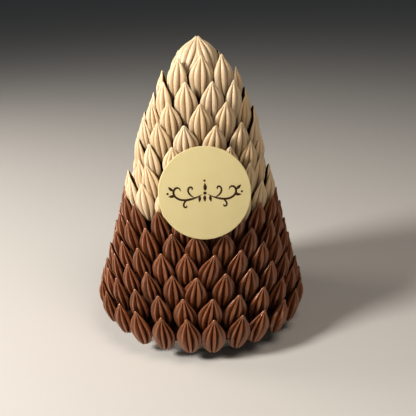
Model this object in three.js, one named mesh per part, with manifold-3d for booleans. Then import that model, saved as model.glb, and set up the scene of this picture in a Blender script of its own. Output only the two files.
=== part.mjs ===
// Chocolate pyramid: a tall cone shingled all round with fluted, pointed chocolate buds, milk chocolate
// below and ivory chocolate above. Each ring of buds is one course: a solid slice of the cone with its
// buds set in it. Four buds lean together as the crown, a round plaque leans on the front, and the whole
// stands on a narrower pale foot.
//
// Millimetres, +Z up. The origin is the centre of the foot's flat underside, and the plaque faces -Y.

import * as THREE from "three";
import { mergeVertices } from "three/addons/utils/BufferGeometryUtils.js";
import Module from "manifold-3d";

const wasm = await Module();
wasm.setup();

// The outline that the bud tips follow: a straight side, rounded in above the shoulder
const APEX_HEIGHT = 305;
const SIDE_RADIUS_AT_FLOOR = 124.2;
const SIDE_SLOPE = 0.29;
const SHOULDER_HEIGHT = 200;

// The rings from the bottom up: how many buds, and where the bud nearest the front sits (degrees
// from the front, anticlockwise seen from above). The turns set the buds of a ring between those below.
const RINGS = [
  { buds: 25, turn: -8 },
  { buds: 23, turn: -10 },
  { buds: 22, turn: -1.5 },
  { buds: 21, turn: -9 },
  { buds: 19, turn: -1 },
  { buds: 18, turn: -13 },
  { buds: 17, turn: -7 },
  { buds: 16, turn: 0 },
  { buds: 14, turn: 2 },
  { buds: 12, turn: -14 },
  { buds: 10, turn: 1 },
  { buds: 9, turn: -18.5 },
  { buds: 6, turn: 6.6 },
];
const MILK_RINGS = 6;
const FIRST_TIP_HEIGHT = 52.6;
const RING_RISE = 19.57;
const BOTTOM_RING_OUT = 0.8;

// How far the buds lean outwards: off the side of the pyramid, and for the bottom ring off the vertical
const MILK_LEAN_OFF_SIDE = 30;
const IVORY_LEAN_OFF_SIDE = 26.5;
const BOTTOM_RING_LEAN = 13.3;

// One bud: a fluted half shell with a flat back
const BUD_LENGTH = 42.5;
const BUD_WIDTH = 25;
const BUD_DEPTH = 8.7;
const BUD_FULLNESS = 0.8;
const FLUTED_LEVEL = { at: 0.45, ridges: 5, groove: 0.24 };
const PLAIN_LEVEL = { at: 0.8, ridges: 3 };
const UNEVEN = { length: 0.02, lean: 0.5, turn: 0.5, rise: 0.7 };

// The cone that carries the buds
const NUB_SUNK = 1.7;
const FEWEST_FLATS = 14;
const ROUND_SIDES = 32;
const FOOT = { radius: 80, height: 24 };
const BASE_DISC = { radius: 104.5, height: 4.2 };
const GAP = 0.3;

// The crown and the plaque
const CROWN = { buds: 4, turn: 45, tipRadius: 0.8, lean: -31, coreBelowApex: 6 };
const PLAQUE = { radius: 43.8, thickness: 3.5, edge: 0.9, centreHeight: 169.5, turn: 3.3, clear: 1.6 };

const chocolate = (color, roughness) => new THREE.MeshStandardMaterial({ color, roughness, metalness: 0 });
const milkChocolate = chocolate(0x8a5636, 0.45);
const ivoryChocolate = chocolate(0xe0c294, 0.45);
const paleFoam = chocolate(0xd9d8d2, 0.9);
const plaqueChocolate = chocolate(0xe2d092, 0.5);

const radians = THREE.MathUtils.degToRad;

// The radius of the tips at a height: the straight side, times a rounding that grows above the shoulder
// as the cube of the way from there to the apex.
function tipRadius(height) {
  const overShoulder = Math.max(0, (height - SHOULDER_HEIGHT) / (APEX_HEIGHT - SHOULDER_HEIGHT));
  return (SIDE_RADIUS_AT_FLOOR - SIDE_SLOPE * height) * Math.sqrt(1 - overShoulder ** 3);
}

// How far the side leans inwards over the length of a bud below a height, in degrees.
function sideLean(height) {
  const run = tipRadius(height - BUD_LENGTH) - tipRadius(height);
  return THREE.MathUtils.radToDeg(Math.atan(run / BUD_LENGTH));
}

// Where the tips and the nubs of a ring sit, and how far its buds lean outwards.
function ringPlace(ring) {
  const bottom = ring === 0;
  const tipHeight = FIRST_TIP_HEIGHT + ring * RING_RISE;
  const offSide = ring < MILK_RINGS ? MILK_LEAN_OFF_SIDE : IVORY_LEAN_OFF_SIDE;
  const lean = bottom ? BOTTOM_RING_LEAN : offSide - sideLean(tipHeight);
  const radius = tipRadius(tipHeight) + (bottom ? BOTTOM_RING_OUT : 0);
  return {
    lean,
    tipHeight,
    tipRadius: radius,
    nubHeight: tipHeight - BUD_LENGTH * Math.cos(radians(lean)),
    nubRadius: radius - BUD_LENGTH * Math.sin(radians(lean)),
  };
}

// Small differences from bud to bud, between -1 and 1, as in anything set by hand.
function uneven(ring, bud, trait) {
  return Math.sin(2.4 * ring + 5.1 * bud + 1.7 * trait);
}

// A solid for cutting and joining, from a geometry with shared vertices.
function toSolid(geometry) {
  geometry.deleteAttribute("normal");
  geometry.deleteAttribute("uv");
  const merged = mergeVertices(geometry, 1e-4);
  return new wasm.Manifold(new wasm.Mesh({
    numProp: 3,
    vertProperties: new Float32Array(merged.attributes.position.array),
    triVerts: new Uint32Array(merged.index.array),
  }));
}

function toGeometry(solid) {
  const mesh = solid.getMesh();
  const geometry = new THREE.BufferGeometry();
  geometry.setAttribute("position", new THREE.BufferAttribute(mesh.vertProperties, mesh.numProp));
  geometry.setIndex(new THREE.BufferAttribute(mesh.triVerts, 1));
  geometry.computeVertexNormals();
  return geometry;
}

// A level of a bud, at a share of the length below the tip: half an ellipse whose width and depth follow
// sin(pi t) to the power of the fullness. Where there are grooves, the points between ridges are pulled in.
function budLevel(length, { at, ridges, groove }) {
  const swell = Math.sin(Math.PI * at) ** BUD_FULLNESS;
  const points = groove ? 2 * ridges - 1 : ridges;
  return Array.from({ length: points }, (_, i) => {
    const angle = (Math.PI * i) / (points - 1);
    const reach = swell * (groove && i % 2 ? 1 - groove : 1);
    return [-reach * (BUD_WIDTH / 2) * Math.cos(angle), -reach * BUD_DEPTH * Math.sin(angle), -at * length];
  });
}

// A bud with its tip at the origin, its nub straight below, its flat back in the XZ plane and its fluted
// front towards -Y. The grooves run out between the fluted level and the plain one.
function budGeometry(length) {
  const levels = [FLUTED_LEVEL, PLAIN_LEVEL].map((level) => budLevel(length, level));
  const [upper, lower] = levels.map((level) => level.length);
  const positions = [[0, 0, 0], ...levels.flat(), [0, 0, -length]];
  const nub = positions.length - 1;
  const upperPoint = (i) => 1 + (i % upper);
  const lowerPoint = (i) => 1 + upper + (i % lower);
  const below = (i) => lowerPoint(Math.round(((i % upper) * (lower - 1)) / (upper - 1)));

  const index = [];
  for (let i = 0; i < upper; i += 1) {
    const [point, next] = [upperPoint(i), upperPoint(i + 1)];
    index.push(0, point, next);
    index.push(point, below(i), next);
    if (below(i + 1) !== below(i)) {
      index.push(next, below(i), below(i + 1));
    }
  }
  for (let i = 0; i < lower; i += 1) {
    index.push(nub, lowerPoint(i + 1), lowerPoint(i));
  }

  const geometry = new THREE.BufferGeometry();
  geometry.setAttribute("position", new THREE.Float32BufferAttribute(positions.flat(), 3));
  geometry.setIndex(index);
  return geometry;
}

// A bud set on the pyramid: leant outwards about its tip, moved out to the tip's place, turned about the axis.
function placedBud({ length = BUD_LENGTH, lean, radius, height, turn }) {
  const geometry = budGeometry(length);
  geometry.rotateX(radians(lean));
  geometry.translate(0, -radius, height);
  geometry.rotateZ(radians(turn));
  return toSolid(geometry);
}

// The cone under the buds passes just outside the nubs of every ring above the bottom one and of the
// crown, so that all of them are sunk in it.
const crownNub = {
  nubHeight: APEX_HEIGHT - BUD_LENGTH * Math.cos(radians(CROWN.lean)),
  nubRadius: CROWN.tipRadius - BUD_LENGTH * Math.sin(radians(CROWN.lean)),
};
const conePlaces = [...RINGS.map((_, ring) => ringPlace(ring)).slice(1), crownNub];

function coneRadius(height) {
  const above = Math.max(1, conePlaces.findIndex((place) => place.nubHeight >= height));
  const low = conePlaces[above - 1];
  const high = conePlaces[above];
  const share = (height - low.nubHeight) / (high.nubHeight - low.nubHeight);
  return NUB_SUNK + THREE.MathUtils.lerp(low.nubRadius, high.nubRadius, share);
}

// A solid of revolution through (radius, height) pairs, closed on the axis at both ends.
function turned(profile, sides = ROUND_SIDES) {
  const points = profile.map(([radius, height]) => new THREE.Vector2(radius, height));
  const geometry = new THREE.LatheGeometry(points, sides);
  geometry.rotateX(Math.PI / 2);
  return geometry;
}

function ringBuds(ring) {
  const place = ringPlace(ring);
  const { buds, turn } = RINGS[ring];
  return Array.from({ length: buds }, (_, bud) => placedBud({
    length: BUD_LENGTH * (1 + UNEVEN.length * uneven(ring, bud, 1)),
    lean: place.lean + UNEVEN.lean * uneven(ring, bud, 2),
    radius: place.tipRadius,
    height: place.tipHeight + UNEVEN.rise * uneven(ring, bud, 3),
    turn: turn + (360 * bud) / buds + UNEVEN.turn * uneven(ring, bud, 4),
  }));
}

function joined(solids) {
  return toGeometry(solids.reduce((whole, solid) => whole.add(solid)));
}

// The slice of the cone that a course is built on: the bottom course has the base disc, and every other
// slice runs from half way below its nubs to half way above them. The cone is straight up to the shoulder,
// and above it each slice bends at its nubs. Each bud has a flat of its own on the slice.
function courseSlice(ring) {
  const { buds, turn } = RINGS[ring];
  const sides = buds * Math.ceil(FEWEST_FLATS / buds);
  let profile;
  if (ring === 0) {
    const low = FOOT.height + GAP;
    const high = low + BASE_DISC.height;
    profile = [[0, low], [BASE_DISC.radius, low], [BASE_DISC.radius, high], [0, high]];
  } else {
    const nub = ringPlace(ring).nubHeight;
    const above = ring + 1 < RINGS.length ? ringPlace(ring + 1) : crownNub;
    const low = ring === 1 ? FOOT.height + BASE_DISC.height + 2 * GAP : (ringPlace(ring - 1).nubHeight + nub) / 2;
    const high = (nub + above.nubHeight) / 2 - GAP;
    const bends = nub > SHOULDER_HEIGHT ? [low, nub, high] : [low, high];
    profile = [[0, low], ...bends.map((height) => [coneRadius(height), height]), [0, high]];
  }
  const flatsOut = 1 / Math.cos(Math.PI / sides);
  const geometry = turned(profile.map(([radius, height]) => [radius * flatsOut, height]), sides);
  geometry.rotateZ(radians(turn) + Math.PI / sides);
  return geometry;
}

function course(ring) {
  return joined([toSolid(courseSlice(ring)), ...ringBuds(ring)]);
}

// Four buds leaning in with their tips together, on the cone's own tip.
function crown() {
  const low = (ringPlace(RINGS.length - 1).nubHeight + crownNub.nubHeight) / 2;
  const high = APEX_HEIGHT - CROWN.coreBelowApex;
  const nub = crownNub.nubHeight;
  const core = turned([[0, low], [coneRadius(low), low], [coneRadius(nub), nub], [CROWN.tipRadius, high], [0, high]]);
  const buds = Array.from({ length: CROWN.buds }, (_, bud) => placedBud({
    lean: CROWN.lean,
    radius: CROWN.tipRadius,
    height: APEX_HEIGHT,
    turn: CROWN.turn + (360 * bud) / CROWN.buds,
  }));
  return joined([toSolid(core), ...buds]);
}

function foot() {
  const { radius, height } = FOOT;
  return turned([[0, 0], [radius, 0], [radius, height], [0, height]]);
}

// A thin round plate with an eased front edge, its back on the bud tips and leant back as far as the side.
function plaque() {
  const { radius, thickness, edge } = PLAQUE;
  const rim = thickness - edge;
  const geometry = turned([[0, 0], [radius, 0], [radius, rim], [radius - edge, thickness], [0, thickness]]);
  geometry.rotateX(Math.PI / 2 - radians(sideLean(PLAQUE.centreHeight)));
  geometry.translate(0, -tipRadius(PLAQUE.centreHeight) - PLAQUE.clear, PLAQUE.centreHeight);
  geometry.rotateZ(radians(PLAQUE.turn));
  return geometry;
}

function part(name, geometry, material) {
  const mesh = new THREE.Mesh(geometry, material);
  mesh.name = name;
  return mesh;
}

const pyramid = new THREE.Group();
pyramid.add(part("foot", foot(), paleFoam));
RINGS.forEach((_, ring) => {
  const name = `course_${String(ring + 1).padStart(2, "0")}`;
  pyramid.add(part(name, course(ring), ring < MILK_RINGS ? milkChocolate : ivoryChocolate));
});
pyramid.add(part("crown", crown(), ivoryChocolate));
pyramid.add(part("plaque", plaque(), plaqueChocolate));

export default pyramid;
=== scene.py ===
# Chocolate pyramid: a cone shingled all round with fluted, pointed chocolate buds, milk chocolate below
# and ivory chocolate above, with a crown of four buds and a round plaque on its front, on a pale foot.
# Metres, +Z up. The pyramid stands on the floor at the origin and the plaque faces -Y.

from math import pi, radians

import bpy
import numpy as np
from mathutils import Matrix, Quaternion, Vector


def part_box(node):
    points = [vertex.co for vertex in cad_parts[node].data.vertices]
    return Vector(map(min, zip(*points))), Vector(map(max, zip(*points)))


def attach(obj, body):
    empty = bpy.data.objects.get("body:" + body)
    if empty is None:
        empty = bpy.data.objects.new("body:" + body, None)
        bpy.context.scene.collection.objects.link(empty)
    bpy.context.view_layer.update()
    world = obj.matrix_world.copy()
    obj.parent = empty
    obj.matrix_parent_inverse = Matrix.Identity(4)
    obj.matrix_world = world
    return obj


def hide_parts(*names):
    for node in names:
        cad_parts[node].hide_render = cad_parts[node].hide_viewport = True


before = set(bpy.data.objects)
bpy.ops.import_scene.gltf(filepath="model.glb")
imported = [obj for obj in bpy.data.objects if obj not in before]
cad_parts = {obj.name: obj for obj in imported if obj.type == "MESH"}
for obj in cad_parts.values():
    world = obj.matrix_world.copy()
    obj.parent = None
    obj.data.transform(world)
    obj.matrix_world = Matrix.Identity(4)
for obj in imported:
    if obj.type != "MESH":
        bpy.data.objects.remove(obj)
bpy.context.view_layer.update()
MM = 0.001


# ---- Camera, floor and light ----
# A short telephoto lens a little above the pyramid, held a degree off level. The floor is wide matt
# paper. A soft key lamp stands at the front left. A weaker one behind it lights the left edge, and
# another fills in from the right, high up. Lamps have their place and width across in metres.
LENS = 55.7
CAMERA_PLACE = Vector((0.0, -647.0, 369.0)) * MM
CAMERA_AIM = Vector((8.4, 0.0, 125.4)) * MM
CAMERA_ROLL = radians(-0.8)
FLOOR_RADIUS = 12.0
FLOOR_SIDES = 96
LAMPS = {
    "key_lamp": {"place": (-1.15, -0.66, 1.04), "across": 0.4, "watts": 28.0, "colour": "#FFFAF4"},
    "edge_lamp": {"place": (-1.35, 0.3, 0.5), "across": 0.7, "watts": 8.5, "colour": "#FFF4EA"},
    "fill_lamp": {"place": (0.45, -0.54, 1.45), "across": 0.8, "watts": 7.5, "colour": "#FFF2E4"},
}
LAMP_AIM = Vector((0.0, 0.0, 0.15))
SKY_COLOUR = "#DDE3EA"
SKY_STRENGTH = 0.07


def linear(hex_colour):
    """An sRGB hex colour as linear red, green, blue and alpha."""
    channels = np.array([int(hex_colour[i:i + 2], 16) / 255 for i in (1, 3, 5)])
    curve = np.where(channels <= 0.04045, channels / 12.92, ((channels + 0.055) / 1.055) ** 2.4)
    return (*curve.tolist(), 1.0)


def add(tree, kind, inputs, **settings):
    """Adds one shader node. An input that is a socket is linked, and any other is set as a value."""
    made = tree.nodes.new(kind)
    for name, value in settings.items():
        setattr(made, name, value)
    for key, value in inputs.items():
        if isinstance(value, bpy.types.NodeSocket):
            tree.links.new(value, made.inputs[key])
        else:
            made.inputs[key].default_value = value
    return made


def new_material(name):
    """An empty node material: its node tree and its output node."""
    material = bpy.data.materials.new(name)
    material.use_nodes = True
    material.node_tree.nodes.clear()
    output = material.node_tree.nodes.new("ShaderNodeOutputMaterial")
    return material, material.node_tree, output


def new_piece(name, vertices, faces, materials, face_materials=None, sharp=None):
    """A smooth-shaded mesh object at the origin. Edges that turn by more than sharp stay crisp."""
    mesh = bpy.data.meshes.new(name)
    mesh.from_pydata(vertices.tolist(), [], faces)
    for material in materials:
        mesh.materials.append(material)
    if face_materials is not None:
        mesh.polygons.foreach_set("material_index", face_materials)
    mesh.shade_smooth()
    if sharp is not None:
        mesh.set_sharp_from_angle(angle=sharp)
    piece = bpy.data.objects.new(name, mesh)
    bpy.context.scene.collection.objects.link(piece)
    return piece


camera = bpy.data.objects.new("camera", bpy.data.cameras.new("camera"))
camera.data.lens = LENS
camera.location = CAMERA_PLACE
camera.rotation_mode = "QUATERNION"
level = (CAMERA_AIM - CAMERA_PLACE).to_track_quat("-Z", "Y")
camera.rotation_quaternion = level @ Quaternion((0, 0, 1), CAMERA_ROLL)
bpy.context.scene.collection.objects.link(camera)
bpy.context.scene.camera = camera

for lamp_name, lamp in LAMPS.items():
    light = bpy.data.lights.new(lamp_name, "AREA")
    light.shape = "DISK"
    light.size = lamp["across"]
    light.energy = lamp["watts"]
    light.color = linear(lamp["colour"])[:3]
    lamp_object = bpy.data.objects.new(lamp_name, light)
    lamp_object.location = lamp["place"]
    lamp_object.rotation_mode = "QUATERNION"
    lamp_object.rotation_quaternion = (LAMP_AIM - lamp_object.location).to_track_quat("-Z", "Y")
    bpy.context.scene.collection.objects.link(lamp_object)

sky = bpy.data.worlds.new("sky")
sky.use_nodes = True
sky.node_tree.nodes["Background"].inputs["Color"].default_value = linear(SKY_COLOUR)
sky.node_tree.nodes["Background"].inputs["Strength"].default_value = SKY_STRENGTH
bpy.context.scene.world = sky
bpy.context.scene.view_settings.view_transform = "Standard"
bpy.context.scene.view_settings.look = "Medium High Contrast"

# Matt paper: no gloss, one even pale tone
matt_paper, tree, output = new_material("matt_paper")
paper = add(tree, "ShaderNodeBsdfPrincipled", {"Base Color": linear("#C8C6C2"), "Roughness": 0.9})
tree.links.new(paper.outputs["BSDF"], output.inputs["Surface"])

rim = np.linspace(0, 2 * pi, FLOOR_SIDES, endpoint=False)
floor_rim = np.stack([FLOOR_RADIUS * np.cos(rim), FLOOR_RADIUS * np.sin(rim), 0 * rim], axis=1)
floor = new_piece("floor", floor_rim, [list(range(FLOOR_SIDES))], [matt_paper])


# ---- Foot ----
# A disc of fine-beaded pale foam, cut from a sheet, that lifts the pyramid off its board. Its edge is
# cut square and a little worn, and it shows only between the buds of the bottom ring.
foot_low, foot_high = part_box("foot")
FOOT_RADIUS = foot_high[0]
FOOT_EDGE = 1.2 * MM
FOOT_SIDES = 128
FOAM_BEAD = 2.5 * MM
CRISP_FROM = radians(40)


def grid_faces(rows, columns):
    """Four-sided faces between the rows of a grid that is closed after its last column, row by row."""
    column = np.arange(columns)
    beside = (column + 1) % columns
    row = np.arange(rows - 1)[:, None] * columns
    below = row + columns
    return np.stack([row + column, below + column, below + beside, row + beside], axis=-1)


def fan_faces(centre, first, columns):
    """Triangles from one centre vertex to a closed row of vertices that starts at the first."""
    column = np.arange(columns)
    beside = (column + 1) % columns
    return np.stack([np.full(columns, centre), first + column, first + beside], axis=1)


def turned(name, profile, sides, materials, waviness=None):
    """A closed surface of revolution about Z.

    The profile is a list of (radius, height) from the axis at the bottom to the axis at the top. Each
    of its points is carried round the axis in equal steps. The waviness is a function of angle and
    height that gives the share by which the radius is changed there.
    """
    profile = np.array(profile)
    angle = np.linspace(0, 2 * pi, sides, endpoint=False)[None, :]
    radius, height = profile[1:-1, 0][:, None], profile[1:-1, 1][:, None] + 0 * angle
    reach = radius * (1 + (waviness(angle, height) if waviness else 0 * angle))
    rings = np.stack([reach * np.sin(angle), -reach * np.cos(angle), height], axis=-1)
    vertices = np.concatenate([rings.reshape(-1, 3), [[0, 0, profile[0, 1]], [0, 0, profile[-1, 1]]]])

    rows = len(profile) - 2
    bottom, top = rows * sides, rows * sides + 1
    walls = grid_faces(rows, sides)[..., [0, 3, 2, 1]].reshape(-1, 4)
    under = fan_faces(bottom, 0, sides)[:, [0, 2, 1]]
    over = fan_faces(top, (rows - 1) * sides, sides)
    faces = walls.tolist() + under.tolist() + over.tolist()
    return new_piece(name, vertices, faces, materials, sharp=CRISP_FROM)


def eased_corner(radius, height, edge, start, steps=4):
    """Profile points on a quarter circle: its centre plus the edge's radius times cosine and sine.

    The angle goes up by one quarter turn from the start, which is given in quarter turns.
    """
    angle = (start + np.linspace(0, 1, steps + 1)) * pi / 2
    return [(radius + edge * np.cos(a), height + edge * np.sin(a)) for a in angle]


# Expanded foam: matt, pale, with the outlines of its beads just showing as shallow dents, darkened by
# painted shade
bead_foam, tree, output = new_material("bead_foam")
place = add(tree, "ShaderNodeTexCoord", {})
beads = add(tree, "ShaderNodeTexVoronoi", {"Vector": place.outputs["Object"], "Scale": 1 / FOAM_BEAD})
# Painted shade: each bead is darker towards its outline, where the bump dents the foam
tones = add(tree, "ShaderNodeValToRGB", {"Fac": beads.outputs["Distance"]})
tones.color_ramp.elements[0].color = linear("#DAD9D4")
tones.color_ramp.elements[1].color = linear("#C9C8C2")
dents = add(
    tree, "ShaderNodeBump",
    {"Height": beads.outputs["Distance"], "Strength": 0.5, "Distance": 0.2 * MM}, invert=True,
)
foam = add(
    tree, "ShaderNodeBsdfPrincipled",
    {"Base Color": tones.outputs["Color"], "Roughness": 0.85, "Normal": dents.outputs["Normal"]},
)
tree.links.new(foam.outputs["BSDF"], output.inputs["Surface"])

foot_profile = [
    (0, foot_low[2]),
    *eased_corner(FOOT_RADIUS - FOOT_EDGE, foot_low[2] + FOOT_EDGE, FOOT_EDGE, 3),
    *eased_corner(FOOT_RADIUS - FOOT_EDGE, foot_high[2] - FOOT_EDGE, FOOT_EDGE, 0),
    (0, foot_high[2]),
]
foot = turned("foam_foot", foot_profile, FOOT_SIDES, [bead_foam])
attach(foot, "root")
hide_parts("foot")


# ---- Base disc and cone ----
# A foam cone on a thin disc, both coated in dark chocolate spread with a palette knife. The buds are
# stuck to the cone by their nubs, so its side passes just outside the nubs of every ring.
COURSES = [f"course_{number:02d}" for number in range(1, 14)]
SIDE_RADIUS_AT_FLOOR = 124.2 * MM
SIDE_SLOPE = 0.29
SHOULDER_HEIGHT = 200 * MM
APEX_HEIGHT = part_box("crown")[1][2]
TIP_RISE_UNEVEN = 0.7 * MM
BUD_LENGTH = 42.5 * MM
MILK_RING_COUNT = 6
MILK_LEAN_OFF_SIDE = radians(30)
IVORY_LEAN_OFF_SIDE = radians(26.5)
BOTTOM_RING_LEAN = radians(13.3)
BOTTOM_RING_OUT = 0.8 * MM
CROWN_LEAN = radians(-31)
CROWN_TIP_RADIUS = 0.8 * MM
CROWN_CORE_BELOW_APEX = 6 * MM
NUB_SUNK = 1.7 * MM
DISC_RADIUS = 104.5 * MM
DISC_LOW = foot_high[2] + 0.3 * MM
DISC_THICKNESS = 4.2 * MM
DISC_EDGE = 1.2 * MM
CONE_ROWS = 48
CONE_SIDES = 96
KNIFE_STROKE = 9 * MM
KNIFE_DEPTH_SHARE = 0.0025
KNIFE_WAVES = [(5, 0.9), (11, -1.7), (17, 2.3)]


def side_radius(height):
    """Radius of the bud tips: a straight side, times a rounding above the shoulder.

    The rounding is the square root of 1 less the cube of the share of the way from shoulder to apex.
    """
    over = np.maximum(0, (height - SHOULDER_HEIGHT) / (APEX_HEIGHT - SHOULDER_HEIGHT))
    return (SIDE_RADIUS_AT_FLOOR - SIDE_SLOPE * height) * np.sqrt(1 - over ** 3)


def side_lean(height):
    """The side's lean over a bud's length below a height: the arc tangent of its run over the length."""
    return np.arctan((side_radius(height - BUD_LENGTH) - side_radius(height)) / BUD_LENGTH)


# Places of the tips and nubs of each ring. The highest tip of a ring is the top of its course.
tip_heights = np.array([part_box(course)[1][2] for course in COURSES]) - TIP_RISE_UNEVEN
tip_radii = side_radius(tip_heights)
tip_radii[0] += BOTTOM_RING_OUT
is_milk = np.arange(len(COURSES)) < MILK_RING_COUNT
lean_off_side = np.where(is_milk, MILK_LEAN_OFF_SIDE, IVORY_LEAN_OFF_SIDE)
bud_leans = lean_off_side - side_lean(tip_heights)
bud_leans[0] = BOTTOM_RING_LEAN
crown_nub_height = APEX_HEIGHT - BUD_LENGTH * np.cos(CROWN_LEAN)
crown_nub_radius = CROWN_TIP_RADIUS - BUD_LENGTH * np.sin(CROWN_LEAN)
nub_heights = np.append((tip_heights - BUD_LENGTH * np.cos(bud_leans))[1:], crown_nub_height)
nub_radii = np.append((tip_radii - BUD_LENGTH * np.sin(bud_leans))[1:], crown_nub_radius)
disc_high = DISC_LOW + DISC_THICKNESS


def knife_marks(angle, height):
    """Share by which a coated radius changes: a sum of sines, each with its number round and pitch."""
    up = height / KNIFE_STROKE
    return KNIFE_DEPTH_SHARE * sum(np.sin(number * angle + pitch * up) for number, pitch in KNIFE_WAVES)


# Tempered dark chocolate: near black brown, satin, with broad shallow knife marks
dark_chocolate, tree, output = new_material("dark_chocolate_coat")
place = add(tree, "ShaderNodeTexCoord", {})
marks = add(
    tree, "ShaderNodeTexNoise",
    {"Vector": place.outputs["Object"], "Scale": 1 / KNIFE_STROKE, "Detail": 3.0},
)
tones = add(tree, "ShaderNodeValToRGB", {"Fac": marks.outputs["Fac"]})
tones.color_ramp.elements[0].color = linear("#2E1A10")
tones.color_ramp.elements[1].color = linear("#4A2C1A")
swells = add(
    tree, "ShaderNodeBump", {"Height": marks.outputs["Fac"], "Strength": 0.6, "Distance": 0.8 * MM},
)
coat = add(
    tree, "ShaderNodeBsdfPrincipled",
    {
        "Base Color": tones.outputs["Color"],
        "Roughness": 0.55,
        "Specular IOR Level": 0.25,
        "Normal": swells.outputs["Normal"],
    },
)
tree.links.new(coat.outputs["BSDF"], output.inputs["Surface"])

cone_heights = np.linspace(disc_high, crown_nub_height, CONE_ROWS)
cone_radii = np.interp(cone_heights, nub_heights, nub_radii) + NUB_SUNK
cone_profile = [
    (0, DISC_LOW),
    *eased_corner(DISC_RADIUS - DISC_EDGE, DISC_LOW + DISC_EDGE, DISC_EDGE, 3),
    *eased_corner(DISC_RADIUS - DISC_EDGE, disc_high - DISC_EDGE, DISC_EDGE, 0),
    *zip(cone_radii, cone_heights),
    (CROWN_TIP_RADIUS, APEX_HEIGHT - CROWN_CORE_BELOW_APEX),
    (0, APEX_HEIGHT - CROWN_CORE_BELOW_APEX),
]
cone = turned("coated_cone", cone_profile, CONE_SIDES, [dark_chocolate], waviness=knife_marks)
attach(cone, "root")
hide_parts(*COURSES, "crown")


# ---- Milk chocolate buds ----
# Half shells cast in fluted moulds and stuck on by their nubs, ring by ring from the bottom, with most
# buds behind the gap between two of the ring below. The back of each is closed with dark chocolate.

# A ring starts at its turn, in degrees, and goes round in even steps. Single buds in it are moved, each
# by a turn in degrees, a rise and a step out in millimetres, a tilt in degrees and, in the bottom ring,
# the share by which it is longer.
MILK_RINGS = [
    {
        "buds": 25, "turn": -8,
        "moved": {
            0: (0, 1, 0, -3.5, 0), 2: (1, 0, 0, 7, 0), 3: (-0.7, -2, 0, 11, -0.06),
            4: (0, -1, 0, 11, -0.07), 5: (0, 0, 0, 0, -0.05), 20: (0, 0, 0, 0, -0.08),
            21: (0, 0, 0, 0, -0.1), 22: (2, -1, 0, 2, -0.12), 23: (0.5, -1.5, 0, -2, 0),
            24: (1.4, -1.5, 0, 0, 0),
        },
    },
    {
        "buds": 23, "turn": -10,
        "moved": {
            0: (0, -1.5, 0, 0), 1: (0, -1, 0, 7), 2: (-0.5, 0.5, 0, 6), 3: (0, 1.5, 0, 3.5),
            4: (1, 0.5, 0, 3.5), 21: (1.7, -1.5, 0, 0), 22: (1, -1, 0, 0),
        },
    },
    {
        "buds": 22, "turn": -1.5,
        "moved": {
            0: (-0.6, 0, 0, 5), 1: (-0.4, 2, 0, 3.5), 2: (-1.2, 2, 0, 1.5), 3: (-1.5, 2, 0, 0),
            19: (1, 0, 0, 0), 20: (0.7, 0, 0, 0), 21: (1.7, 1, 0, 0),
        },
    },
    {
        "buds": 21, "turn": -9,
        "moved": {
            0: (-0.4, 2.5, 0, 0), 1: (0.2, 1.3, 0, 9), 2: (0.5, 2.5, 0, 6.5), 3: (0, 3.5, 0, 0),
            18: (0, -2.5, 0, 0), 19: (1, -1, 0, 0), 20: (1.3, -1, 0, 0),
        },
    },
    {
        "buds": 19, "turn": -1,
        "moved": {0: (-2, 0, 0, 0), 1: (-2.2, 0, 0, 0), 2: (-1.8, 0, 0, 0), 18: (0.9, 0, 0, 0)},
    },
    {"buds": 18, "turn": -13, "moved": {16: (-2, -1, 0, 0), 17: (2.2, -1, 0, 0)}},
]
MILK_MOULD = {
    "width": 25.4 * MM, "depth": 11.2 * MM, "set_back": 2.8 * MM, "groove": 0.52, "side_groove": 0.3,
    "sharpness": 2.0, "tip_powers": (1.0, 1.2), "fuller_below": 0.3,
}
BOTTOM_MOULD = {**MILK_MOULD, "fuller_below": 0.55}
END_POWERS = {"width": 0.5, "depth": 0.45}
NIB_RADIUS = 2.1 * MM
NIB_END = 0.11
RIDGES = 5
BUD_ROWS = 18
GROOVE_START = (0.05, 0.13)
BACK_HOLLOW = 0.3
# Columns of points: shares of each ridge from its groove on, and of the back from its middle to a rim
RIDGE_COLUMNS = [0, 0.12, 0.36, 0.64, 0.88]
BACK_COLUMNS = [0.86, 0.45, -0.45, -0.86]
# Differences from bud to bud: the uneven ones run in waves round the rings, and the others are drawn
UNEVEN = {"length": 0.02, "lean": radians(0.5), "rise": TIP_RISE_UNEVEN, "turn": radians(0.5)}
UNEVEN_STEPS = (2.4, 5.1, 1.7)
HAND = {"roll": radians(8), "tilt": radians(2.2), "width": 0.03, "depth": 0.06, "shift": 0.32}
RING_SEED = 100
BUD_CRISP_FROM = radians(62)
CLOUD_SIZE = 11 * MM
GRAIN_SIZE = 0.7 * MM
# Power of the groove depth by which painted shade darkens the grooves
GROOVE_SHADE_POWER = 3.5
ROUGHNESS_SPREAD = 0.07


def uneven(ring, bud, trait):
    """Difference from bud to bud: the trait's size times the sine of steps by ring, bud and trait."""
    ring_step, bud_step, trait_step = UNEVEN_STEPS
    number = list(UNEVEN).index(trait) + 1
    return UNEVEN[trait] * np.sin(ring_step * ring + bud_step * bud + trait_step * number)


def swell(t, first, last):
    """The sine of pi t, to a power that changes evenly from the first at t = 0 to the last at 1."""
    return np.sin(pi * t) ** (first + (last - first) * t)


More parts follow.
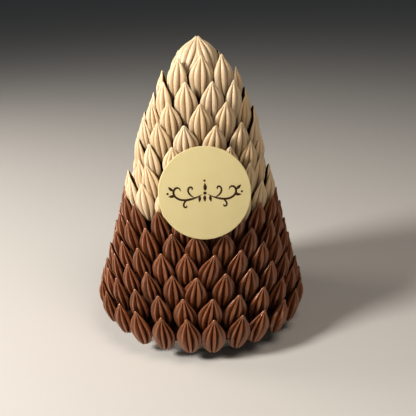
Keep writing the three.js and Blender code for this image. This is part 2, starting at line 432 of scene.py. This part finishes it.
def bud_surface(mould, shift):
    """Points of buds with their tips at the origin, their nubs at -Z and their fluted fronts towards -Y.

    t runs down from the tip, 0, to the nub, 1, and phi across the front, 0 to pi. The half width and the
    depth are swells of t, from the mould's power at the tip to the end power at the nub, with a small
    dome added at the tip. The half width also grows evenly with t, by fuller_below from tip to nub.
    Across the front the surface is half an ellipse of that width and depth. The ridges are even steps of
    phi before shift times the sine of phi is added to it, which moves them sideways. Between two ridges
    the ellipse is drawn in by the groove's share of its size, and the groove fades towards the middle of
    a ridge as a power of the way from there, the mould's sharpness. The back joins the two rims through
    a shallow hollow. All of it lies back by set_back times the sine of pi t.
    """
    t = ((1 - np.cos(pi * np.arange(1, BUD_ROWS) / BUD_ROWS)) / 2)[None, :, None]
    across = np.append((np.arange(RIDGES)[:, None] + RIDGE_COLUMNS).ravel(), RIDGES)[None, None, :]
    even = pi * across / RIDGES
    phi = even + shift[:, None, None] * np.sin(even)

    over_nib = np.clip(t / NIB_END, 0, 1)
    nib = NIB_RADIUS * np.sqrt(over_nib) * (1 - over_nib)
    lower = 1 + mould["fuller_below"] * (t - 0.5)
    wide_power, deep_power = mould["tip_powers"]
    half_width = mould["width"] / 2 * lower * swell(t, wide_power, END_POWERS["width"]) + nib
    depth = mould["depth"] * swell(t, deep_power, END_POWERS["depth"]) + nib

    groove = np.abs(2 * (across % 1) - 1) ** mould["sharpness"]
    groove_share = mould["side_groove"] + (mould["groove"] - mould["side_groove"]) * np.sin(phi)
    groove_from, groove_full = GROOVE_START
    begin = np.clip((t - groove_from) / (groove_full - groove_from), 0, 1)
    drawn_in = 1 - groove_share * begin * groove
    front_x = -half_width * np.cos(phi) * drawn_in
    front_y = -depth * np.sin(phi) * drawn_in

    share = np.array(BACK_COLUMNS)[None, None, :]
    rim_right, rim_left = front_x[:, :, -1:], front_x[:, :, :1]
    back_x = (rim_right + rim_left) / 2 + (rim_right - rim_left) / 2 * share
    back_y = -BACK_HOLLOW * depth * (1 - share ** 4) + 0 * back_x

    x = np.concatenate([front_x, back_x], axis=2)
    y = np.concatenate([front_y, back_y], axis=2) + mould["set_back"] * np.sin(pi * t)
    z = -BUD_LENGTH * t + 0 * x
    grooves = np.concatenate([groove * begin + 0 * front_x, 0 * back_x], axis=2)
    return np.stack([x, y, z], axis=-1), grooves


def turn_about(axis, angles):
    """Rotation matrices about X, Y or Z (0, 1 or 2), one for each angle."""
    matrices = np.zeros((len(angles), 3, 3))
    one, two = (axis + 1) % 3, (axis + 2) % 3
    matrices[:, axis, axis] = 1
    matrices[:, one, one] = matrices[:, two, two] = np.cos(angles)
    matrices[:, two, one] = np.sin(angles)
    matrices[:, one, two] = -np.sin(angles)
    return matrices


def bud_ring(name, course, mould, materials, turns, lean, radius, height, length, rng, tilt=0.0):
    """One piece of buds set round the axis.

    Each bud is rolled, tilted and leant about its tip, moved out to the radius and up to the height, and
    then turned about the axis.
    """
    count = len(turns)
    surface, grooves = bud_surface(mould, HAND["shift"] * rng.uniform(-1, 1, count))
    spread = rng.uniform(-1, 1, (4, count))
    size = np.stack([1 + HAND["width"] * spread[0], 1 + HAND["depth"] * spread[1], length], axis=1)
    surface = surface * size[:, None, None, :]
    ends = np.zeros((count, 2, 3))
    ends[:, 1, 2] = -BUD_LENGTH * length
    rows, columns = surface.shape[1:3]
    points = np.concatenate([surface.reshape(count, -1, 3), ends], axis=1)

    own = turn_about(1, tilt + HAND["tilt"] * spread[2]) @ turn_about(2, HAND["roll"] * spread[3])
    set_up = turn_about(0, lean) @ own
    moved = np.einsum("nij,nkj->nki", set_up, points)
    moved[:, :, 1] -= radius[:, None]
    moved[:, :, 2] += height[:, None]
    vertices = np.einsum("nij,nkj->nki", turn_about(2, turns), moved)

    tip, nub = rows * columns, rows * columns + 1
    tips = fan_faces(tip, 0, columns)
    nubs = fan_faces(nub, (rows - 1) * columns, columns)[:, [0, 2, 1]]
    offsets = np.arange(count)[:, None, None] * (nub + 1)
    faces = (offsets + grid_faces(rows, columns).reshape(1, -1, 4)).reshape(-1, 4).tolist()
    faces += (offsets + np.concatenate([tips, nubs])[None]).reshape(-1, 3).tolist()

    column = np.arange(columns)
    filled = ((column >= columns - len(BACK_COLUMNS)) & (column < columns - 1)).astype(int)
    face_materials = np.tile(filled, (rows + 1) * count)
    flat_vertices = vertices.reshape(-1, 3)
    piece = new_piece(name, flat_vertices, faces, materials, face_materials, sharp=BUD_CRISP_FROM)
    # The groove depth at each point, by which the materials paint shade into the grooves, and a random
    # tone for each bud
    depths = np.concatenate([grooves.reshape(count, -1), np.zeros((count, 2))], axis=1)
    marks = {"groove": depths, "tone": rng.uniform(0, 1, (count, 1)) + 0 * depths}
    for mark, values in marks.items():
        attribute = piece.data.attributes.new(mark, "FLOAT", "POINT")
        attribute.data.foreach_set("value", values.ravel())
    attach(piece, "root")
    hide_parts(course)
    return piece


def set_ring(ring, turns, prefix, mould, materials, rise=0.0, out=0.0, tilt=0.0, longer=0.0):
    """The buds of one ring, numbered from 0 at the bottom, each a little off by hand."""
    bud = np.arange(len(turns))
    piece = bud_ring(
        f"{prefix}_{ring + 1:02d}",
        COURSES[ring],
        mould,
        materials,
        turns=turns + uneven(ring, bud, "turn"),
        lean=bud_leans[ring] + uneven(ring, bud, "lean"),
        radius=tip_radii[ring] + out + 0.0 * turns,
        height=tip_heights[ring] + rise + uneven(ring, bud, "rise"),
        length=1 + longer + uneven(ring, bud, "length"),
        rng=np.random.default_rng(RING_SEED + ring),
        tilt=tilt,
    )


def set_even_ring(ring, even, prefix, mould, materials):
    """A ring in even steps from its turn, with the changes to the buds that are moved added to them."""
    changes = np.zeros((5, even["buds"]))
    for bud, change in even["moved"].items():
        changes[:len(change), bud] = change
    steps = 2 * pi * np.arange(even["buds"]) / even["buds"]
    set_ring(
        ring,
        radians(even["turn"]) + steps + np.radians(changes[0]),
        prefix,
        mould,
        materials,
        rise=changes[1] * MM,
        out=changes[2] * MM,
        tilt=np.radians(changes[3]),
        longer=changes[4],
    )


def chocolate_material(name, ridge, other, groove, sheen, roughness, shine, ior, glow):
    """Chocolate cast in a mould.

    Its colour is a mix of two tones, ridge and other, by bud and by a soft cloud, and then of the groove
    colour by depth, which is painted shade in the grooves. A fine grain roughens the satin highlight,
    which sheen tints and shine strengthens.
    glow is the share of light that passes under the skin.
    """
    material, tree, output = new_material(name)
    place = add(tree, "ShaderNodeTexCoord", {}).outputs["Object"]
    depth = add(tree, "ShaderNodeAttribute", {}, attribute_name="groove").outputs["Fac"]
    tone = add(tree, "ShaderNodeAttribute", {}, attribute_name="tone").outputs["Fac"]
    cloud = add(tree, "ShaderNodeTexNoise", {"Vector": place, "Scale": 1 / CLOUD_SIZE, "Detail": 2.0})
    fine = add(tree, "ShaderNodeTexNoise", {"Vector": place, "Scale": 1 / GRAIN_SIZE, "Detail": 2.0})
    blend = add(tree, "ShaderNodeMath", {0: tone, 1: cloud.outputs["Fac"]}, operation="MULTIPLY")
    tones = add(
        tree, "ShaderNodeMixRGB",
        {"Fac": blend.outputs[0], "Color1": linear(ridge), "Color2": linear(other)},
    )
    # Painted shade: the groove colour darkens each groove by a power of its depth
    groove_shade_share = add(tree, "ShaderNodeMath", {0: depth, 1: GROOVE_SHADE_POWER}, operation="POWER")
    colour = add(
        tree, "ShaderNodeMixRGB",
        {"Fac": groove_shade_share.outputs[0], "Color1": tones.outputs["Color"], "Color2": linear(groove)},
    )
    skin = add(
        tree, "ShaderNodeBump",
        {"Height": fine.outputs["Fac"], "Strength": 0.35, "Distance": 0.08 * MM},
    )
    gloss = add(
        tree, "ShaderNodeMapRange",
        {
            "Value": cloud.outputs["Fac"],
            "To Min": roughness - ROUGHNESS_SPREAD,
            "To Max": roughness + ROUGHNESS_SPREAD,
        },
    )
    shader = add(
        tree, "ShaderNodeBsdfPrincipled",
        {
            "Base Color": colour.outputs["Color"],
            "Roughness": gloss.outputs["Result"],
            "IOR": ior,
            "Specular IOR Level": shine,
            "Specular Tint": linear(sheen),
            "Subsurface Weight": glow,
            "Subsurface Radius": (1.0, 0.75, 0.4),
            "Subsurface Scale": 2 * MM,
            "Normal": skin.outputs["Normal"],
        },
    )
    tree.links.new(shader.outputs["BSDF"], output.inputs["Surface"])
    return material


# Tempered milk chocolate: warm mid brown, satin, with painted shade in the grooves, a dark red-brown
milk_chocolate = chocolate_material(
    "moulded_milk_chocolate", ridge="#865539", other="#67402A", groove="#1C0D06",
    sheen="#FFDCC9", roughness=0.32, shine=1.0, ior=1.58, glow=0.02,
)
milk_and_dark = [milk_chocolate, dark_chocolate]
for ring, even in enumerate(MILK_RINGS):
    mould = MILK_MOULD if ring > 0 else BOTTOM_MOULD
    set_even_ring(ring, even, "milk_buds", mould, milk_and_dark)


# ---- Ivory chocolate buds ----
# The same half shells cast in ivory chocolate, in seven rings up to the crown. Their backs are closed
# with dark chocolate too, so a dark line shows where an edge is seen from the side.
IVORY_RINGS = [
    {"buds": 17, "turn": -7, "moved": {}},
    {
        "buds": 16, "turn": 0,
        "moved": {
            3: (0, 0, -3, 0), 4: (2, 0, -4, 0), 12: (2, 0, -4.5, 0), 13: (5, 0, -1.5, 0),
            14: (-4.5, 0, 0, -8),
        },
    },
    {"buds": 14, "turn": 2, "moved": {}},
    {"buds": 12, "turn": -14, "moved": {3: (0, 0, 1.3, 0), 4: (0, 4, 2, 0)}},
]
# The buds of the top three rings are placed one by one: turns in degrees, rises and steps out in
# millimetres
TOP_RINGS = [
    {
        "turns": [-70, -35, 2, 32.5, 68, 106, 142, 179, -144, -105],
        "rises": [-2.5, 0, -0.6, 0, 1.4, 5, 1, 0, 0, 1],
        "outs": [0, 0, 0, 0, 0, 0, 0, 0, 0, -3],
    },
    {
        "turns": [-56, -18, 20, 52, 93, 134, 178, -138, -94],
        "rises": [-2.5, 0, 0, -1, 6.5, 3, 2, 2, 4.5],
        "outs": [1, 0.5, 0.5, 4.5, -2, 0, 0, -1, -4.5],
    },
    {
        "turns": [-40, 8, 46, 118, -173, -105],
        "rises": [-0.5, 2, 3, 3.5, 2, 3.8],
        "outs": [1.7, -0.5, 5, -3.7, 0, -7.5],
    },
]
IVORY_MOULD = {
    "width": 25.8 * MM, "depth": 10.8 * MM, "set_back": 2.4 * MM, "groove": 0.28, "side_groove": 0.16,
    "sharpness": 2.0, "tip_powers": (1.1, 1.2), "fuller_below": 0.15,
}

# Tempered ivory chocolate: warm cream, satin, faintly translucent, with painted shade in the grooves, a
# golden brown
ivory_chocolate = chocolate_material(
    "moulded_ivory_chocolate", ridge="#D6C3A6", other="#CCB188", groove="#A06A32",
    sheen="#FFF2E0", roughness=0.42, shine=0.5, ior=1.5, glow=0.3,
)
ivory_and_dark = [ivory_chocolate, dark_chocolate]
for step, even in enumerate(IVORY_RINGS):
    ring = len(MILK_RINGS) + step
    set_even_ring(ring, even, "ivory_buds", IVORY_MOULD, ivory_and_dark)
for step, top in enumerate(TOP_RINGS):
    set_ring(
        len(MILK_RINGS) + len(IVORY_RINGS) + step,
        np.radians(top["turns"]),
        "ivory_buds",
        IVORY_MOULD,
        ivory_and_dark,
        rise=np.array(top["rises"]) * MM,
        out=np.array(top["outs"]) * MM,
    )


# ---- Crown ----
# Four ivory buds lean in over the cone's tip until their own tips meet. They are pressed together in
# pairs, one pair at the front and one at the back, so that little of the cone shows between them.
CROWN_TURNS = np.radians([41, 134, -134, -41])
CROWN_BUDS = len(CROWN_TURNS)
CROWN_SEED = 7
CROWN_MOULD = {
    **IVORY_MOULD, "width": 27.2 * MM, "depth": 8.2 * MM, "set_back": 0.0, "tip_powers": (1.27, 1.25),
}

crown = bud_ring(
    "crown_buds",
    "crown",
    CROWN_MOULD,
    ivory_and_dark,
    turns=CROWN_TURNS,
    lean=np.full(CROWN_BUDS, CROWN_LEAN),
    radius=np.full(CROWN_BUDS, CROWN_TIP_RADIUS),
    height=np.full(CROWN_BUDS, APEX_HEIGHT),
    length=np.ones(CROWN_BUDS),
    rng=np.random.default_rng(CROWN_SEED),
)


# ---- Plaque ----
# A thin round plate of white chocolate, cast flat and smooth with an eased rim. It leans on the bud tips
# of the front, stuck with a little melted chocolate, and faces slightly up.
PLAQUE_RADIUS = 43.8 * MM
PLAQUE_THICKNESS = 3.5 * MM
PLAQUE_EDGE = 0.9 * MM
PLAQUE_TURN = radians(3.3)
PLAQUE_CLEAR = 1.6 * MM
PLAQUE_CENTRE_HEIGHT = 169.5 * MM
PLAQUE_SIDES = 160
PLAQUE_CLOUD_SIZE = 14 * MM
PLAQUE_GRAIN_SIZE = 0.8 * MM


def on_plaque(points):
    """Places points given across, up and out from the centre of the plaque's back.

    They are leant back with the side, moved to just outside it, and turned about the axis.
    """
    lean = side_lean(PLAQUE_CENTRE_HEIGHT)
    across, up, out = points[:, 0], points[:, 1], points[:, 2]
    back = side_radius(PLAQUE_CENTRE_HEIGHT) + PLAQUE_CLEAR
    y = -back - out * np.cos(lean) + up * np.sin(lean)
    z = PLAQUE_CENTRE_HEIGHT + out * np.sin(lean) + up * np.cos(lean)
    c, s = np.cos(PLAQUE_TURN), np.sin(PLAQUE_TURN)
    return np.stack([across * c - y * s, across * s + y * c, z], axis=1)


# White chocolate cast on film: pale yellow, smooth and satin, with faint clouds of cocoa butter
plaque_chocolate, tree, output = new_material("cast_white_chocolate")
place = add(tree, "ShaderNodeTexCoord", {})
cloud = add(
    tree, "ShaderNodeTexNoise",
    {"Vector": place.outputs["Object"], "Scale": 1 / PLAQUE_CLOUD_SIZE, "Detail": 3.0},
)
grain = add(
    tree, "ShaderNodeTexNoise",
    {"Vector": place.outputs["Object"], "Scale": 1 / PLAQUE_GRAIN_SIZE, "Detail": 2.0},
)
tones = add(tree, "ShaderNodeValToRGB", {"Fac": cloud.outputs["Fac"]})
tones.color_ramp.elements[0].color = linear("#CDC091")
tones.color_ramp.elements[1].color = linear("#D3C699")
skin = add(
    tree, "ShaderNodeBump", {"Height": grain.outputs["Fac"], "Strength": 0.2, "Distance": 0.05 * MM},
)
cast = add(
    tree, "ShaderNodeBsdfPrincipled",
    {
        "Base Color": tones.outputs["Color"],
        "Roughness": 0.5,
        "Specular IOR Level": 0.25,
        "Subsurface Weight": 0.15,
        "Subsurface Radius": (1.0, 0.7, 0.4),
        "Subsurface Scale": 2 * MM,
        "Normal": skin.outputs["Normal"],
    },
)
tree.links.new(cast.outputs["BSDF"], output.inputs["Surface"])

plaque_profile = [
    (0, 0),
    *eased_corner(PLAQUE_RADIUS - PLAQUE_EDGE, PLAQUE_EDGE, PLAQUE_EDGE, 3),
    *eased_corner(PLAQUE_RADIUS - PLAQUE_EDGE, PLAQUE_THICKNESS - PLAQUE_EDGE, PLAQUE_EDGE, 0),
    (0, PLAQUE_THICKNESS),
]
plaque = turned("white_plaque", plaque_profile, PLAQUE_SIDES, [plaque_chocolate])
flat = np.empty(len(plaque.data.vertices) * 3)
plaque.data.vertices.foreach_get("co", flat)
plaque.data.vertices.foreach_set("co", on_plaque(flat.reshape(-1, 3)).ravel())
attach(plaque, "root")
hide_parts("plaque")


# ---- Plaque ornament ----
# Mirrored scrolls with leaves and dots, piped on the plaque in thin dark chocolate. Each line is a low
# bead that is flat underneath and tapers to both ends. A line is given by its start and length in
# millimetres, its first heading and how far that turns, in degrees, and its half width in millimetres.
LINE_PROUD = 0.5 * MM
LINE_SUNK = 0.15 * MM
FULL_HEIGHT_FROM_HALF = 0.5 * MM
LINE_STEPS = 40
LINE_CRISP_FROM = radians(50)
BEAD_ANGLES = np.radians([0, 36, 72, 108, 144, 180, 240, 300])
CURL_POWER = 4
TAPER_POWER = 0.6
LEAF_BEND = 25
LEAF_POWER = 0.75
LEAST_SHARE = 0.02
LEAST_ROUND = 0.001
SCROLLS = [
    {"start": (2.4, -1.0), "heading": -30, "bend": 62, "curl": 275, "length": 43, "half": 0.95},
    {"start": (9.5, -4.0), "heading": 20, "bend": 95, "curl": 250, "length": 18, "half": 0.8},
    {"start": (14.0, -4.6), "heading": -20, "bend": -60, "curl": -270, "length": 15, "half": 0.75},
]
LEAVES = [
    {"start": (28.0, -1.4), "heading": -20, "length": 6.5, "half": 1.35},
    {"start": (29.6, 3.0), "heading": 30, "length": 6.0, "half": 1.3},
    {"start": (5.0, -2.6), "heading": -95, "length": 6.0, "half": 1.25},
]
MIDDLE_LEAVES = [
    {"start": (0.0, 2.2), "heading": 78, "length": 7.5, "half": 1.6},
    {"start": (0.0, -2.2), "heading": -102, "length": 6.0, "half": 1.4},
]
DOTS = [{"centre": (34.8, 0.4), "half": 1.0}]
MIDDLE_DOTS = [{"centre": (0.0, 0.0), "half": 1.5}, {"centre": (0.0, 11.6), "half": 1.0}]


def drawn_line(start, heading, bend, curl, length):
    """Points of a line: its heading turns evenly by bend, and by curl as a power of the way along."""
    way = np.linspace(0, 1, LINE_STEPS)
    angle = np.radians(heading + bend * way + curl * way ** CURL_POWER)
    steps = np.stack([np.cos(angle), np.sin(angle)], axis=1)[:-1] * length / (LINE_STEPS - 1)
    return (np.array(start) + np.concatenate([[[0, 0]], np.cumsum(steps, axis=0)])) * MM


def bead(path, half):
    """A closed bead along a path in the plaque's plane.

    Across the path it is the upper half of an ellipse, as wide as the half width given at each point and
    as high as a line is, or less where the line is thin, and it is flat below.
    """
    along = np.gradient(path, axis=0)
    along /= np.linalg.norm(along, axis=1)[:, None]
    aside = np.stack([-along[:, 1], along[:, 0]], axis=1)
    half = half[:, None]
    height = LINE_PROUD * np.minimum(1, half / FULL_HEIGHT_FROM_HALF) * np.sin(BEAD_ANGLES)
    x, y = (path[:, axis, None] + half * np.cos(BEAD_ANGLES) * aside[:, axis, None] for axis in (0, 1))
    out = np.where(BEAD_ANGLES > pi, -LINE_SUNK, height)
    return np.stack([x, y, PLAQUE_THICKNESS + out], axis=-1)


def taper(way, half):
    """Half widths of a line that tapers over its first third and last sixth, as a power of the way."""
    return half * MM * np.clip(np.minimum(way * 3, (1 - way) * 6), LEAST_SHARE, 1) ** TAPER_POWER


way = np.linspace(0, 1, LINE_STEPS)
beads = []
for scroll in SCROLLS:
    path = drawn_line(
        scroll["start"], scroll["heading"], scroll["bend"], scroll["curl"], scroll["length"],
    )
    beads.append(bead(path, taper(way, scroll["half"])))
for leaf in LEAVES + MIDDLE_LEAVES:
    path = drawn_line(leaf["start"], leaf["heading"], LEAF_BEND, 0, leaf["length"])
    leaf_shape = np.maximum(np.sin(pi * way ** LEAF_POWER), LEAST_SHARE)
    beads.append(bead(path, leaf["half"] * MM * leaf_shape))
for dot in DOTS + MIDDLE_DOTS:
    start = (dot["centre"][0] - dot["half"], dot["centre"][1])
    path = drawn_line(start, 0, 0, 0, 2 * dot["half"])
    round_shape = np.sqrt(np.maximum(1 - (2 * way - 1) ** 2, LEAST_ROUND))
    beads.append(bead(path, dot["half"] * MM * round_shape))

# All but the middle leaves and dots are repeated as mirror images, with their faces turned outwards
beads = np.array(beads)
side_lines = len(SCROLLS) + len(LEAVES)
side_dot = side_lines + len(MIDDLE_LEAVES)
mirrored = (beads[[*range(side_lines), side_dot]] * np.array([-1, 1, 1]))[:, :, ::-1]
beads = np.concatenate([beads, mirrored])
lines, steps, around = beads.shape[:3]
walls = grid_faces(steps, around).reshape(-1, 4)
first_end = np.arange(around)
last_end = (steps - 1) * around + first_end[::-1]
offsets = np.arange(lines) * steps * around
faces = [face for offset in offsets for face in (walls + offset).tolist()]
for offset in offsets:
    faces += [(offset + first_end).tolist(), (offset + last_end).tolist()]
placed = on_plaque(beads.reshape(-1, 3))
ornament = new_piece("plaque_ornament", placed, faces, [dark_chocolate], sharp=LINE_CRISP_FROM)
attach(ornament, "root")
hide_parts("plaque")
